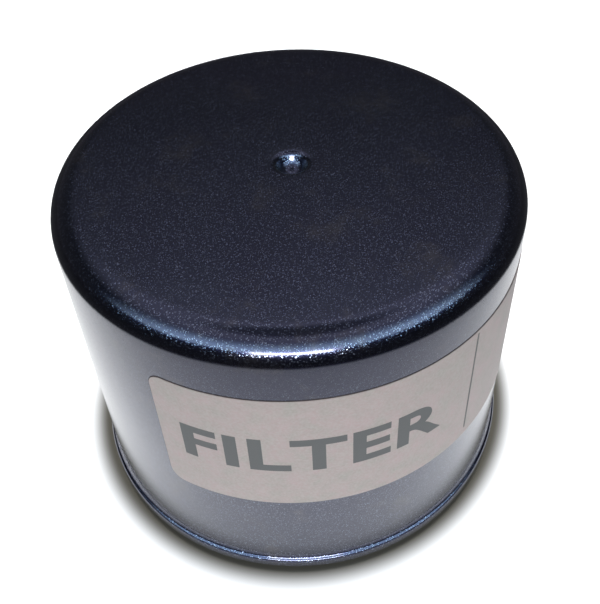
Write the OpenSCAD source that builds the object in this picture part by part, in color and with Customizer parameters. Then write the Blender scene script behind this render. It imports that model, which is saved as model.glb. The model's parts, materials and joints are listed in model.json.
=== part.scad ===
// Spin-on oil filter for a small engine, standing dome up on its base gasket.
// Millimetres. The origin is the centre of the gasket's sealing face, and +Z runs
// up the filter's axis towards the dome.

/* [Can] */
// Outer diameter of the drawn steel can
can_d = 76; // [74:1:100]
// Height from the gasket's sealing face to the top of the dome
overall_h = 60.5; // [56:0.5:90]
// Thickness of the can's steel
can_wall = 0.5; // [0.4:0.05:0.7]
// Outer radius of the rim between the dome and the wall
rim_r = 4.5; // [1.5:0.1:5]
// Diameter of the dimple in the middle of the dome
dimple_d = 6.2; // [5:0.1:9]
// Depth of the dimple
dimple_depth = 3; // [1:0.1:3.1]

/* [Seam] */
// How far the rolled seam stands out from the wall
seam_out = 0.8; // [0.7:0.05:1.1]
// Straight height of the seam's outer face
seam_face = 1; // [0.8:0.1:2]
// Radius of the hollow curve from the wall into the seam
seam_hollow_r = 1.2; // [0.8:0.1:2]
// Radius of the seam's upper outer edge
seam_edge_r = 0.8; // [0.75:0.05:1.1]
// Gap between the folded layers, filled with sealing compound
seam_gap = 0.05; // [0.04:0.01:0.08]

/* [Label] */
// Length of the label around the can
label_len = 139; // [60:1:180]
// Height of the label
label_h = 26.6; // [15:0.1:30]
// Distance from the top of the dome down to the label
label_drop = 11.2; // [8:0.1:14]
// Angle of the label's left edge, counted from +X
label_start = -125; // [-180:1:180]
// Radius of the label's corners
label_corner = 2.4; // [0.5:0.1:4]
// Thickness of the label
label_t = 0.12; // [0.08:0.01:0.2]

/* [Base] */
// Thickness of the seaming lid's sheet
lid_t = 0.5; // [0.4:0.05:0.6]
// Width of the flange where the lid is welded to the plate
lid_flange = 6.2; // [4:0.1:7]
// Thickness of the threaded base plate
plate_t = 3; // [2.4:0.1:4]
// Gap between the plate's edge and the can
plate_gap = 1.5; // [0.5:0.1:3]
// Minor diameter of the centre thread, where a 3/4-16 UNF nipple screws in
thread_d = 17.5; // [15:0.1:21]
// Length of the thread through the plate and its collar
thread_len = 9; // [7:0.5:12]
// Thickness of the collar's wall around the thread
collar_wall = 2.25; // [1.8:0.05:3]
// Lead-in chamfer at the thread's two ends
thread_chamfer = 0.6; // [0.3:0.1:0.9]
// Number of oil inlet holes
inlet_count = 8; // [6:1:8]
// Diameter of each oil inlet hole
inlet_d = 6; // [4:0.1:6.4]
// Number of welds between lid and plate
weld_count = 6; // [4:1:8]

/* [Gasket] */
// Radial width of the base gasket
gasket_w = 4.4; // [3.5:0.1:5]
// Height of the base gasket
gasket_h = 4.8; // [4.4:0.1:6]
// How far the gasket stands below the seam
gasket_stand = 1.8; // [1.2:0.1:2.2]
// Clearance each side of the gasket in its groove
gasket_fit = 0.2; // [0.1:0.05:0.4]

/* [Anti-drainback valve] */
// Thickness of the rubber valve's skirt
skirt_t = 1.2; // [1:0.1:1.5]
// Height of the valve's top flange, clamped under the element
valve_flange_h = 1.5; // [1.2:0.1:2]
// Clearance between the valve's neck and the collar
valve_fit = 0.1; // [0.05:0.05:0.2]
// How far the lip reaches beyond the inlet holes
lip_cover = 3; // [2:0.1:4]

/* [Element] */
// Sheet thickness of the end caps, tube and cage
sheet_t = 0.5; // [0.4:0.05:0.6]
// Oil gap between the element and the can
oil_gap = 4.5; // [3:0.1:6]
// Height of the end caps' outer rims
cap_rim_h = 4.5; // [3:0.1:6]
// Height of the hub that centres the tube on the lower cap
hub_h = 3; // [2:0.1:4]
// Thickness of the adhesive that bonds the paper to each cap
bond_t = 1.5; // [1:0.1:2.5]
// Number of pleats in the paper
pleats = 46; // [30:1:46]
// Thickness of the filter paper
paper_t = 0.55; // [0.4:0.05:0.6]
// Diameter of the holes in the centre tube
tube_hole_d = 4; // [3:0.1:5]
// Distance between the rows of holes in the centre tube
tube_row = 6; // [5.5:0.1:9]

/* [Bypass valve] */
// Diameter of the bypass port in the upper cap
port_d = 12; // [10:0.1:14]
// Diameter of the valve's guide stem
stem_d = 3; // [2.4:0.1:3.6]
// Radial running clearance of the stem in the cage
stem_fit = 0.08; // [0.05:0.01:0.1]
// Travel of the valve from closed to fully open
bypass_lift = 3; // [2:0.1:3.5]
// Wire diameter of the bypass spring
bypass_wire = 0.8; // [0.6:0.05:0.9]
// Length left over when the bypass spring is at full travel
bypass_spare = 2.2; // [1:0.1:3]

/* [Support spring] */
// Wire diameter of the support spring
spring_wire = 1.6; // [1.2:0.1:1.8]
// How far the element can be pushed up against the spring
element_lift = 7; // [5:0.1:8]
// Height left over when the spring is at full travel
spring_spare = 0.9; // [0.5:0.1:2]
// Gap between the spring's top coil and the dimple
spring_fit = 0.8; // [0.4:0.1:1.2]

/* [Hidden] */
$fn = 96;
EPS = 0.01;

// Can
can_ro = can_d / 2;
can_ri = can_ro - can_wall;
dome_in = overall_h - can_wall;

// Rolled seam: the can's hem folds in round the lid's hook
seam_ro = can_ro + seam_out;
pocket_w = lid_t + 2 * seam_gap;
hem_ro = seam_ro - can_wall - pocket_w;
hem_ri = hem_ro - can_wall;
seam_mid = (seam_ro + hem_ri) / 2;
fold_r = (seam_ro - hem_ri) / 2;
fold_z = gasket_stand + fold_r;
edge_z = fold_z + seam_face;
// Height over which the wall's hollow curve and the seam's round edge meet
flare_h = sqrt(2 * seam_out * (seam_hollow_r + seam_edge_r) - pow(seam_out, 2));
hollow_z = edge_z + flare_h;
hook_z = edge_z - 0.4;

// Seaming lid
chuck_ro = hem_ri - seam_gap;
chuck_ri = chuck_ro - lid_t;
hook_mid = (chuck_ro + hem_ro + seam_gap) / 2;
hook_r = (hem_ro + seam_gap - chuck_ro) / 2;
outer_rib_gap = 0.65;
groove_ro = chuck_ri - outer_rib_gap - lid_t;
groove_ri = groove_ro - gasket_w - 2 * gasket_fit;
inner_rib_gap = 0.5;
rib_ri = groove_ri - 2 * lid_t - inner_rib_gap;
lid_open_r = rib_ri - lid_flange;
inner_rib_rise = 0.2;
weld_r = 1.6;
weld_depth = 0.15;

// Base plate
plate_z = gasket_h + lid_t;
plate_top = plate_z + plate_t;
plate_r = can_ri - plate_gap;
thread_r = thread_d / 2;
collar_r = thread_r + collar_wall;
collar_top = plate_z + thread_len;
collar_chamfer = 0.5;

// Anti-drainback valve
neck_ri = collar_r + valve_fit;
neck_ro = neck_ri + skirt_t;
nipple_gap = 1.25;
nipple_r = thread_r + nipple_gap;
valve_flange_r = neck_ro + 2.4;
neck_z = collar_top - 2.5;
inlet_r = inlet_d / 2;
inlet_land = 1.7;
inlet_ring_r = neck_ro + inlet_land + inlet_r;
lip_r = inlet_ring_r + inlet_r + lip_cover;
lip_w = 0.8;

// Element, from the bottom up
cap_z = collar_top + valve_flange_h;
cap_r = can_ri - oil_gap;
hub_ri = nipple_r + 2.4;
hub_ro = hub_ri + sheet_t;
port_r = port_d / 2;
seat_w = 0.6;
seat_h = 0.3;
seal_ro = port_r + seat_w + 1.6;
disc_r = seal_ro + 0.2;
cage_ri = disc_r + 1.5;
cage_ro = cage_ri + sheet_t;
cage_flange_r = cage_ro + 1.6;
tube_fit = 0.15;
tube_ri = max(hub_ro, cage_flange_r) + tube_fit;
tube_ro = tube_ri + sheet_t;
upper_cap_z = dome_in - spring_wire - element_lift - spring_spare - sheet_t;
tube_bottom = cap_z + sheet_t;
tube_len = upper_cap_z - tube_bottom;
bond_gap = 0.1;
bond_ri = tube_ro + bond_gap;
bond_ro = cap_r - sheet_t - bond_gap;
paper_ri = bond_ri + 0.2;
paper_ro = bond_ro - 0.55;
paper_z = tube_bottom + bond_t;
paper_h = upper_cap_z - bond_t - paper_z;
fold_gap_in = 0.3;
fold_gap_out = 0.8;
clip_t = 0.3;
clip_leg = 4;

// Bypass valve, which closes upwards on the upper cap
seal_t = 1.2;
disc_t = 0.8;
seal_z = upper_cap_z - seat_h - seal_t;
disc_z = seal_z - disc_t;
stem_r = stem_d / 2;
guide_r = stem_r + stem_fit;
guide_h = 1.5;
bypass_turns = 5.5;
// Pitch of a closed turn of the bypass spring
closed_pitch = 1.04 * bypass_wire;
cage_floor = disc_z - bypass_turns * closed_pitch - bypass_lift - bypass_spare;
cage_z = cage_floor - sheet_t;
window_w = 8;
bypass_spring_r = guide_r + 3.5;

// Support spring
dimple_r = dimple_d / 2;
// Radius of the ball that presses the dimple
dish_r = (pow(dimple_r, 2) + pow(dimple_depth, 2)) / (2 * dimple_depth);
spring_top_r = dimple_r + can_wall + spring_fit + spring_wire / 2;
spring_low_r = max(port_r + spring_wire, tube_ri - spring_wire / 2);
spring_turns = 3;

// Half of a round sheet fold of mid radius r, opening up or down
module fold(x, z, r, t, opens_up = true) {
    translate([x, z]) difference() {
        circle(r = r + t);
        circle(r = r);
        translate([-2 * (r + t), opens_up ? 0 : -2 * (r + t)])
            square([4 * (r + t), 2 * (r + t)]);
    }
}

// Rectangle given by its corners
module box2(x0, z0, x1, z1) {
    translate([x0, z0]) square([x1 - x0, z1 - z0]);
}

// Solid cup outline: a wall of radius r up to top, with a round rim
module cup(r, top, rim) {
    box2(0, hollow_z, r, top - rim);
    box2(0, hollow_z, r - rim, top);
    translate([r - rim, top - rim]) circle(r = rim);
}

// Solid outline of the flare from the wall of radius r out to the seam.
// The hollow and edge curves touch, so the outline has no corner.
module flare(r, hollow, edge) {
    far_r = r + seam_out;
    hollow_c = [r + hollow, hollow_z];
    edge_c = [far_r - edge, edge_z];
    touch = edge_c + (hollow_c - edge_c) * edge / (hollow + edge);
    box2(0, fold_z, far_r, edge_z);
    difference() {
        union() {
            polygon([[0, edge_z - EPS], [edge_c[0], edge_z - EPS], edge_c, touch,
                     [r, hollow_z], [0, hollow_z]]);
            translate(edge_c) circle(r = edge);
        }
        translate(hollow_c) circle(r = hollow);
        box2(0, edge_z - edge - 1, far_r + 1, edge_z - EPS);
    }
}

// Ring around the axis with a rectangular section
module ring(r_in, r_out, z0, h) {
    rotate_extrude() box2(r_in, z0, r_out, z0 + h);
}

// Round wire of w in diameter, coiled up the axis; radii and heights are given
// at every ring
module coil(radii, heights, turns, w, sides) {
    n = len(radii);
    points = [for (i = [0 : n - 1], k = [0 : sides - 1])
        let (a = 360 * turns * i / (n - 1), b = 360 * k / sides,
             x = radii[i] + w / 2 * cos(b))
        [x * cos(a), x * sin(a), heights[i] + w / 2 * sin(b)]];
    skin = [for (i = [0 : n - 2], k = [0 : sides - 1], half = [0, 1])
        let (p = i * sides + k, q = i * sides + (k + 1) % sides)
        half == 0 ? [p, q, p + sides] : [q, q + sides, p + sides]];
    ends = [[for (k = [sides - 1 : -1 : 0]) k],
            [for (k = [0 : sides - 1]) (n - 1) * sides + k]];
    polyhedron(points, concat(skin, ends));
}

// Drawn steel can: flat dome, dimple, round rim, and a hem rolled in at the seam
module canister() {
    dish_c = overall_h + dish_r - dimple_depth;
    color([0.10, 0.11, 0.17]) rotate_extrude() {
        difference() {
            union() {
                difference() {
                    union() {
                        cup(can_ro, overall_h, rim_r);
                        flare(can_ro, seam_hollow_r, seam_edge_r);
                    }
                    cup(can_ri, dome_in, rim_r - can_wall);
                    flare(can_ri, seam_hollow_r + can_wall, seam_edge_r - can_wall);
                }
                intersection() {
                    translate([0, dish_c]) circle(r = dish_r + can_wall);
                    box2(0, overall_h - dimple_depth - can_wall - 1, can_ri, overall_h);
                }
            }
            translate([0, dish_c]) circle(r = dish_r);
        }
        fold(seam_mid, fold_z, fold_r - can_wall, can_wall);
        box2(hem_ri, fold_z, hem_ro, hook_z);
    }
}

// Printed label stuck round the can, with round corners
module label() {
    sweep = label_len / can_ro * 180 / PI;
    low = overall_h - label_drop - label_h;
    turn = label_corner / can_ro * 180 / PI;
    color([0.66, 0.65, 0.64]) difference() {
        rotate([0, 0, label_start]) rotate_extrude(angle = sweep)
            box2(can_ro, low, can_ro + label_t, low + label_h);
        for (side = [0, 1], up = [0, 1])
            rotate([0, 0, label_start + (side == 0 ? turn : sweep - turn)])
                translate([0, 0, low + (up == 0 ? label_corner : label_h - label_corner)])
                    label_corner_cut(side == 0 ? -1 : 1, up == 0 ? -1 : 1);
    }
}

// What a corner of the label loses: the square outside a round bar. The bar is a
// little fat, so that it crosses the label's edges instead of only touching them.
module label_corner_cut(along, up) {
    fat = 0.04;
    deep = 2 * label_t + 2;
    span = label_corner + 1;
    translate([can_ro - 1, 0, 0]) difference() {
        translate([0, along < 0 ? -span : 0, up < 0 ? -span : 0]) cube([deep, span, span]);
        rotate([0, 90, 0]) translate([0, 0, -1]) cylinder(h = deep + 2, r = label_corner + fat);
    }
}

// Pressed ring that carries the gasket groove and hooks into the can's hem
module seaming_lid() {
    ceiling = gasket_h;
    outer_z = gasket_stand + outer_rib_gap / 2 + lid_t;
    inner_z = gasket_stand + inner_rib_rise + inner_rib_gap / 2 + lid_t;
    color([0.74, 0.73, 0.69]) difference() {
        rotate_extrude() {
            box2(hem_ro + seam_gap, fold_z + 0.15, hem_ro + seam_gap + lid_t, hook_z);
            fold(hook_mid, hook_z, hook_r, lid_t, opens_up = false);
            box2(chuck_ri, outer_z, chuck_ro, hook_z);
            fold(chuck_ri - outer_rib_gap / 2, outer_z, outer_rib_gap / 2, lid_t);
            box2(groove_ro, outer_z, groove_ro + lid_t, ceiling + lid_t);
            box2(groove_ri - lid_t, ceiling, groove_ro + lid_t, ceiling + lid_t);
            box2(groove_ri - lid_t, inner_z, groove_ri, ceiling + lid_t);
            fold(rib_ri + lid_t + inner_rib_gap / 2, inner_z, inner_rib_gap / 2, lid_t);
            box2(rib_ri, inner_z, rib_ri + lid_t, ceiling + lid_t);
            box2(lid_open_r, ceiling, rib_ri + lid_t, ceiling + lid_t);
        }
        for (i = [0 : weld_count - 1])
            rotate([0, 0, 360 / weld_count * (i + 0.5)])
                translate([rib_ri - lid_flange / 2, 0, ceiling - 1])
                    cylinder(h = 1 + weld_depth, r = weld_r);
    }
}

// Bead of sealing compound at the bottom of the seam's pocket: the square section
// that fits the round inside of the fold, and stops below the lid's hook
module seam_sealant() {
    half = pocket_w / 2 / sqrt(2) - EPS;
    color([0.16, 0.16, 0.15]) ring(seam_mid - half, seam_mid + half, fold_z - half, half + 0.1);
}

// Thick plate with its extruded, threaded collar and the ring of inlet holes
module base_plate() {
    color([0.60, 0.60, 0.58]) difference() {
        rotate_extrude()
            polygon([[thread_r, plate_z + thread_chamfer],
                     [thread_r + thread_chamfer, plate_z],
                     [plate_r, plate_z], [plate_r, plate_top],
                     [collar_r, plate_top], [collar_r, collar_top - collar_chamfer],
                     [collar_r - collar_chamfer, collar_top],
                     [thread_r + thread_chamfer, collar_top],
                     [thread_r, collar_top - thread_chamfer]]);
        for (i = [0 : inlet_count - 1])
            rotate([0, 0, 360 / inlet_count * i])
                translate([inlet_ring_r, 0, plate_z - 1])
                    cylinder(h = plate_t + 2, r = inlet_r);
    }
}

// Square rubber ring that seals against the engine
module base_gasket() {
    soft = 0.4;
    r0 = groove_ri + gasket_fit;
    r1 = r0 + gasket_w;
    color([0.07, 0.07, 0.07]) rotate_extrude()
        polygon([[r0, soft], [r0 + soft, 0], [r1 - soft, 0], [r1, soft],
                 [r1, gasket_h], [r0, gasket_h]]);
}

// Rubber valve: a neck round the collar and a skirt that covers the inlet holes
module anti_drainback_valve() {
    color([0.55, 0.20, 0.13]) rotate_extrude()
        polygon([[nipple_r, collar_top], [neck_ri, collar_top], [neck_ri, neck_z],
                 [lip_r, plate_top], [lip_r + lip_w, plate_top],
                 [lip_r + lip_w, plate_top + skirt_t / 2],
                 [neck_ro, neck_z + skirt_t],
                 [neck_ro, collar_top], [valve_flange_r, collar_top + skirt_t / 4],
                 [valve_flange_r, cap_z], [nipple_r, cap_z]]);
}

// Pressed cup that closes the bottom of the element and centres the tube
module lower_end_cap() {
    color([0.70, 0.70, 0.68]) rotate_extrude() {
        box2(nipple_r, cap_z, cap_r, cap_z + sheet_t);
        box2(hub_ri, cap_z, hub_ro, cap_z + sheet_t + hub_h);
        box2(cap_r - sheet_t, cap_z, cap_r, cap_z + cap_rim_h);
    }
}

// Adhesive between the paper and the lower cap
module lower_bond() {
    color([0.62, 0.30, 0.22]) ring(bond_ri, bond_ro, tube_bottom, bond_t);
}

// Adhesive between the paper and the upper cap
module upper_bond() {
    color([0.62, 0.30, 0.22]) ring(bond_ri, bond_ro, upper_cap_z - bond_t, bond_t);
}

// Perforated steel tube that holds the paper up against the oil's pressure
module centre_tube() {
    holes_around = 8;
    rows = floor((tube_len - 2 * hub_h - tube_hole_d) / tube_row) + 1;
    first = tube_bottom + (tube_len - (rows - 1) * tube_row) / 2;
    color([0.68, 0.68, 0.66]) difference() {
        ring(tube_ri, tube_ro, tube_bottom, tube_len);
        for (row = [0 : rows - 1], i = [0 : holes_around - 1])
            rotate([0, 0, (i + (row % 2) / 2) * 360 / holes_around])
                translate([tube_ri - 2, 0, first + row * tube_row])
                    rotate([0, 90, 0]) cylinder(h = sheet_t + 4, r = tube_hole_d / 2);
    }
}

// Point at radius r, and s millimetres round from angle a
function around(r, a, s) = let (b = a + s / r * 180 / PI) [r * cos(b), r * sin(b)];

// Outline of one face of the pleated paper. At the outer folds it has the radius r_out
// and the half width w_out, at the inner folds r_in and w_in.
function pleat_line(r_out, w_out, r_in, w_in) =
    [for (k = [0 : pleats - 1])
        let (a = 360 * k / pleats, b = 360 * (k + 0.5) / pleats)
        each [around(r_out, a, -w_out), around(r_out, a, w_out),
              around(r_in, b, -w_in), around(r_in, b, w_in)]];

// Filter paper, folded into pleats round the tube
module pleated_media() {
    color([0.86, 0.78, 0.55]) translate([0, 0, paper_z]) linear_extrude(paper_h)
        difference() {
            polygon(pleat_line(paper_ro, fold_gap_out / 2 + paper_t,
                               paper_ri + paper_t, fold_gap_in / 2));
            polygon(pleat_line(paper_ro - paper_t, fold_gap_out / 2,
                               paper_ri, fold_gap_in / 2 + paper_t));
        }
}

// Folded metal strip that clips the paper's two ends together at one pleat
module media_clip() {
    half = fold_gap_out / 2 + paper_t + 0.08;
    reach = paper_ro + 0.06;
    color([0.72, 0.72, 0.70]) translate([0, 0, paper_z]) linear_extrude(paper_h)
        difference() {
            box2(paper_ro - clip_leg, -half - clip_t, reach + clip_t, half + clip_t);
            box2(paper_ro - clip_leg - 1, -half, reach, half);
        }
}

// Pressed cup that closes the top of the element, with the bypass port and its seat
module upper_end_cap() {
    color([0.70, 0.70, 0.68]) rotate_extrude() {
        box2(port_r, upper_cap_z, cap_r, upper_cap_z + sheet_t);
        box2(port_r, upper_cap_z - seat_h, port_r + seat_w, upper_cap_z + sheet_t);
        box2(cap_r - sheet_t, upper_cap_z + sheet_t - cap_rim_h, cap_r, upper_cap_z + sheet_t);
    }
}

// Cup with windows, welded under the upper cap, that guides the bypass valve
module bypass_cage() {
    window_z = cage_floor + 1.2;
    color([0.66, 0.67, 0.66]) difference() {
        rotate_extrude() {
            box2(cage_ri, cage_z, cage_ro, upper_cap_z);
            box2(cage_ri, upper_cap_z - sheet_t, cage_flange_r, upper_cap_z);
            box2(guide_r, cage_z, cage_ro, cage_floor);
            box2(guide_r, cage_z, guide_r + sheet_t, cage_z + guide_h);
        }
        for (a = [0, 90])
            rotate([0, 0, a]) translate([-cage_ro - 1, -window_w / 2, window_z])
                cube([2 * cage_ro + 2, window_w, upper_cap_z - 1.6 - window_z]);
    }
}

// Coil spring that holds the bypass valve shut
module bypass_spring() {
    steps = 18;
    n = ceil(bypass_turns * steps);
    low = cage_floor + bypass_wire / 2 + EPS;
    high = disc_z - bypass_wire / 2 - EPS;
    open_turns = bypass_turns - 2;
    pitch = (high - low - 2 * closed_pitch) / open_turns;
    // One closed turn lies flat on each end, and the open turns share what is left
    heights = [for (i = [0 : n]) let (u = bypass_turns * i / n)
        low + closed_pitch * min(u, 1) + pitch * max(0, min(u - 1, open_turns))
        + closed_pitch * max(0, u - 1 - open_turns)];
    color([0.60, 0.61, 0.62])
        coil([for (i = [0 : n]) bypass_spring_r], heights, bypass_turns, bypass_wire, 8);
}

// Steel disc of the bypass valve
module bypass_disc() {
    color([0.66, 0.66, 0.65]) ring(stem_r + 0.02, disc_r, disc_z, disc_t);
}

// Rubber face of the bypass valve
module bypass_seal() {
    color([0.08, 0.08, 0.08]) ring(port_r - 1.8, seal_ro, seal_z, seal_t);
}

// Rivet through the disc, whose shank is the valve's guide stem
module bypass_stem() {
    head_r = stem_r + 1.1;
    head_h = 0.8;
    tip = cage_z - 1.4;
    color([0.60, 0.60, 0.60]) rotate_extrude()
        polygon([[0, tip], [stem_r - 0.4, tip], [stem_r, tip + 0.4], [stem_r, seal_z],
                 [head_r, seal_z], [head_r, seal_z + head_h / 2],
                 [head_r - 0.4, seal_z + head_h], [0, seal_z + head_h]]);
}

// Conical spring between the dome and the element. Its small top coil sits round the
// dimple, and the turns nest inside each other when it is pressed flat.
module support_spring() {
    steps = 24;
    n = spring_turns * steps;
    low = upper_cap_z + sheet_t + spring_wire / 2 + EPS;
    high = dome_in - spring_wire / 2 - EPS;
    // Share of the length that lies flat at each end
    flat = 0.22;
    rise = [for (i = [0 : n]) min(1, max(0, (i / n - flat) / (1 - 2 * flat)))];
    color([0.45, 0.46, 0.48])
        coil([for (i = [0 : n]) spring_low_r + (spring_top_r - spring_low_r) * i / n],
             [for (u = rise) low + (high - low) * u * u * (3 - 2 * u)],
             spring_turns, spring_wire, 10);
}

canister();
label();
seaming_lid();
seam_sealant();
base_plate();
base_gasket();
anti_drainback_valve();
lower_end_cap();
lower_bond();
centre_tube();
pleated_media();
media_clip();
upper_bond();
upper_end_cap();
bypass_cage();
bypass_spring();
bypass_disc();
bypass_seal();
bypass_stem();
support_spring();
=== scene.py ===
# %% [markdown]
# # A spin-on oil filter
#
# A small engine's oil filter is a painted steel can, closed below by a rolled seam,
# with a paper element and two springs inside. The working model comes from CAD, which
# sets every size and motion. This script gives it its looks: smooth surfaces worked out
# with numpy in place of the CAD nodes, and one material for each finish of the real
# part.

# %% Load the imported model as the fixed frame
import json

import bmesh
import bpy
import numpy as np
from mathutils import Matrix, Vector

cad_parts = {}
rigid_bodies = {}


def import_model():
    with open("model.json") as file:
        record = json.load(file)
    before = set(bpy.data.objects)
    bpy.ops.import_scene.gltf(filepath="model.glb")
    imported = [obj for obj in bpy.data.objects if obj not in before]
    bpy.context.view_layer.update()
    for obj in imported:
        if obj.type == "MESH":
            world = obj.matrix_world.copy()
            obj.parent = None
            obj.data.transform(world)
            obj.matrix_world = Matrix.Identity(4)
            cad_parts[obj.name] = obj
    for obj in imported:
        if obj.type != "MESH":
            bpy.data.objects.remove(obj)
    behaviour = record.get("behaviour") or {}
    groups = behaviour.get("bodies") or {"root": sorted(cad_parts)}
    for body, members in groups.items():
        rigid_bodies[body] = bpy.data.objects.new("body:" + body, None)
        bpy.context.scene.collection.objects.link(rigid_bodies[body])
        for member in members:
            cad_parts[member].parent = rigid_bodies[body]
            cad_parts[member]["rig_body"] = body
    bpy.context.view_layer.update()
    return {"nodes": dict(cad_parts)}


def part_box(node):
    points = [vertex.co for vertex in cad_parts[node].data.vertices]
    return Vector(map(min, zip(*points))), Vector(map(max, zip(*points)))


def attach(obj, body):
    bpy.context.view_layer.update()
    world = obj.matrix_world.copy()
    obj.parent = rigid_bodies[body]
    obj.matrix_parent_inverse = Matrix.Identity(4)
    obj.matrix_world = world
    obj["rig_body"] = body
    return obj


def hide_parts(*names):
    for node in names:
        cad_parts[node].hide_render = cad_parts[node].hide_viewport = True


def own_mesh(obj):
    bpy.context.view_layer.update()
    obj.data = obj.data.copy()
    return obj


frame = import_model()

MM = 0.001


# %% [markdown]
# ## Sizes from the frame
#
# A new piece has to lie where the CAD node lies, so its sizes start from that node's
# box. The few that a box doesn't show, such as a sheet's thickness, are named here.

# %% Read sizes from the CAD nodes' boxes, in millimetres
X, Z = 0, 2


def reach(node, axis):
    """Lowest and highest coordinate of a CAD node along an axis, in mm to 0.01."""
    low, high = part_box(node)
    return round(low[axis] / MM, 2), round(high[axis] / MM, 2)


seam_low, top = reach("canister", Z)
seam_r = reach("canister", X)[1]
seam_out = 0.8
can_r = seam_r - seam_out
can_wall = 0.5
print("can radius", round(can_r, 2), "top", top, "seam bottom", seam_low)

# %% [markdown]
# ## Shapes worked out as arrays
#
# Nearly every piece is pressed, turned or moulded round one axis. So an outline in the
# (r, z) plane, made of arcs and rounded corners, is carried round the axis, and a warp
# of the grid adds what a lathe couldn't: dents and threads.


# %% Outlines in the (r, z) plane
def arc(x, z, radius, start, end, steps):
    """Points on a circle: the centre plus radius times (cos, sin) of an angle that
    goes evenly from start to end, in degrees."""
    a = np.radians(np.linspace(start, end, steps + 1))
    return np.column_stack([x + radius * np.cos(a), z + radius * np.sin(a)])


def rounded(corners, fillet, closed=True, steps=4):
    """A line through corners with each tip rounded. Near a corner c it follows
    (1-t)^2 a + 2t(1-t) c + t^2 b, where a and b lie one fillet before and after c."""
    c = np.asarray(corners, float)
    back = np.roll(c, 1, axis=0) - c
    ahead = np.roll(c, -1, axis=0) - c
    long_back = np.linalg.norm(back, axis=1, keepdims=True)
    long_ahead = np.linalg.norm(ahead, axis=1, keepdims=True)
    size = np.broadcast_to(np.asarray(fillet, float).reshape(-1, 1), (len(c), 1))
    cut = np.minimum(size, 0.45 * np.minimum(long_back, long_ahead))
    a = (c + back / long_back * cut)[:, None]
    b = (c + ahead / long_ahead * cut)[:, None]
    t = np.linspace(0, 1, steps + 1)[None, :, None]
    tips = (1 - t) ** 2 * a + 2 * t * (1 - t) * c[:, None] + t ** 2 * b
    if closed:
        return tips.reshape(-1, 2)
    return np.concatenate([c[:1], tips[1:-1].reshape(-1, 2), c[-1:]])


def spread(points, step, closed=False):
    """The same line with extra points, so that no stretch is longer than step."""
    p = np.asarray(points, float)
    if closed:
        p = np.concatenate([p, p[:1]])
    parts = [
        np.linspace(a, b, max(1, int(np.ceil(np.linalg.norm(b - a) / step))), endpoint=False)
        for a, b in zip(p[:-1], p[1:])
    ]
    joined = np.concatenate(parts)
    return joined if closed else np.concatenate([joined, p[-1:]])


def pressed(path, sheet):
    """Outline of bent sheet metal: the path moved half a sheet to one side, and back
    along the other side. The side is the path's direction turned by 90 degrees."""
    along = np.gradient(path, axis=0)
    along /= np.linalg.norm(along, axis=1, keepdims=True)
    side = np.column_stack([-along[:, 1], along[:, 0]]) * sheet / 2
    return np.concatenate([path + side, (path - side)[::-1]])


# %% Meshes from grids of points
def linked(name, data):
    """An object with that data, linked to the scene."""
    thing = bpy.data.objects.new(name, data)
    bpy.context.scene.collection.objects.link(thing)
    return thing


def smooth_shade(mesh, sharp=32):
    """Smooth shading, except where faces meet at more than sharp degrees."""
    mesh.shade_smooth()
    mesh.set_sharp_from_angle(angle=np.radians(sharp))


def new_mesh(name, points, faces, sharp=32):
    """An object from points in mm and a list of faces, with its normals outwards."""
    mesh = bpy.data.meshes.new(name)
    mesh.from_pydata((np.asarray(points) * MM).tolist(), [], faces)
    work = bmesh.new()
    work.from_mesh(mesh)
    bmesh.ops.recalc_face_normals(work, faces=work.faces)
    work.to_mesh(mesh)
    work.free()
    smooth_shade(mesh, sharp)
    return linked(name, mesh)


def grid_faces(rows, columns, wrap_rows, wrap_columns):
    """Quads between neighbours of a grid whose point (i, j) has number i*columns + j."""
    i = np.arange(rows if wrap_rows else rows - 1)[:, None]
    j = np.arange(columns if wrap_columns else columns - 1)[None, :]
    up, right = (i + 1) % rows, (j + 1) % columns
    quads = np.stack(np.broadcast_arrays(
        i * columns + j, i * columns + right, up * columns + right, up * columns + j), -1)
    return quads.reshape(-1, 4).tolist()


def turned(name, outline, around=256, on_axis=False, warp=None):
    """A surface of revolution: point (i, j) is (r_i cos t_j, r_i sin t_j, z_i), with t
    going once round. warp(r, z, t) may move the grid. An outline that starts and ends
    on_axis is closed there by fans of triangles."""
    body = outline[1:-1] if on_axis else outline
    t = np.linspace(0, 2 * np.pi, around, endpoint=False)[None, :]
    r, z = body[:, :1] + 0 * t, body[:, 1:] + 0 * t
    if warp is not None:
        r, z = warp(r, z, t + 0 * r)
    points = np.stack([r * np.cos(t), r * np.sin(t), z], -1).reshape(-1, 3)
    faces = grid_faces(len(body), around, not on_axis, True)
    if on_axis:
        last = (len(body) - 1) * around
        first_pole, last_pole = len(points), len(points) + 1
        poles = np.column_stack([np.zeros((2, 2)), outline[[0, -1], 1]])
        points = np.concatenate([points, poles])
        j = np.arange(around)
        k = (j + 1) % around
        faces += np.column_stack([j, k, 0 * j + first_pole]).tolist()
        faces += np.column_stack([last + k, last + j, 0 * j + last_pole]).tolist()
    return new_mesh(name, points, faces)


def finished_mesh(thing):
    """A new mesh of an object as its modifiers or its font make it."""
    bpy.context.view_layer.update()
    depsgraph = bpy.context.evaluated_depsgraph_get()
    return bpy.data.meshes.new_from_object(thing.evaluated_get(depsgraph))


def settle(thing, material, node):
    """Gives a finished piece its material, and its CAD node's body."""
    thing.data.materials.clear()
    thing.data.materials.append(material)
    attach(thing, frame["nodes"][node]["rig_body"])
    print(f"{thing.name}: {len(thing.data.vertices)} points, for {node}")


# %% [markdown]
# ## Finishes
#
# Every material is a Principled surface with procedural detail. Patterns are measured
# in millimetres on the object, through Object coordinates, so they stay on the piece
# when it moves.


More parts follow.
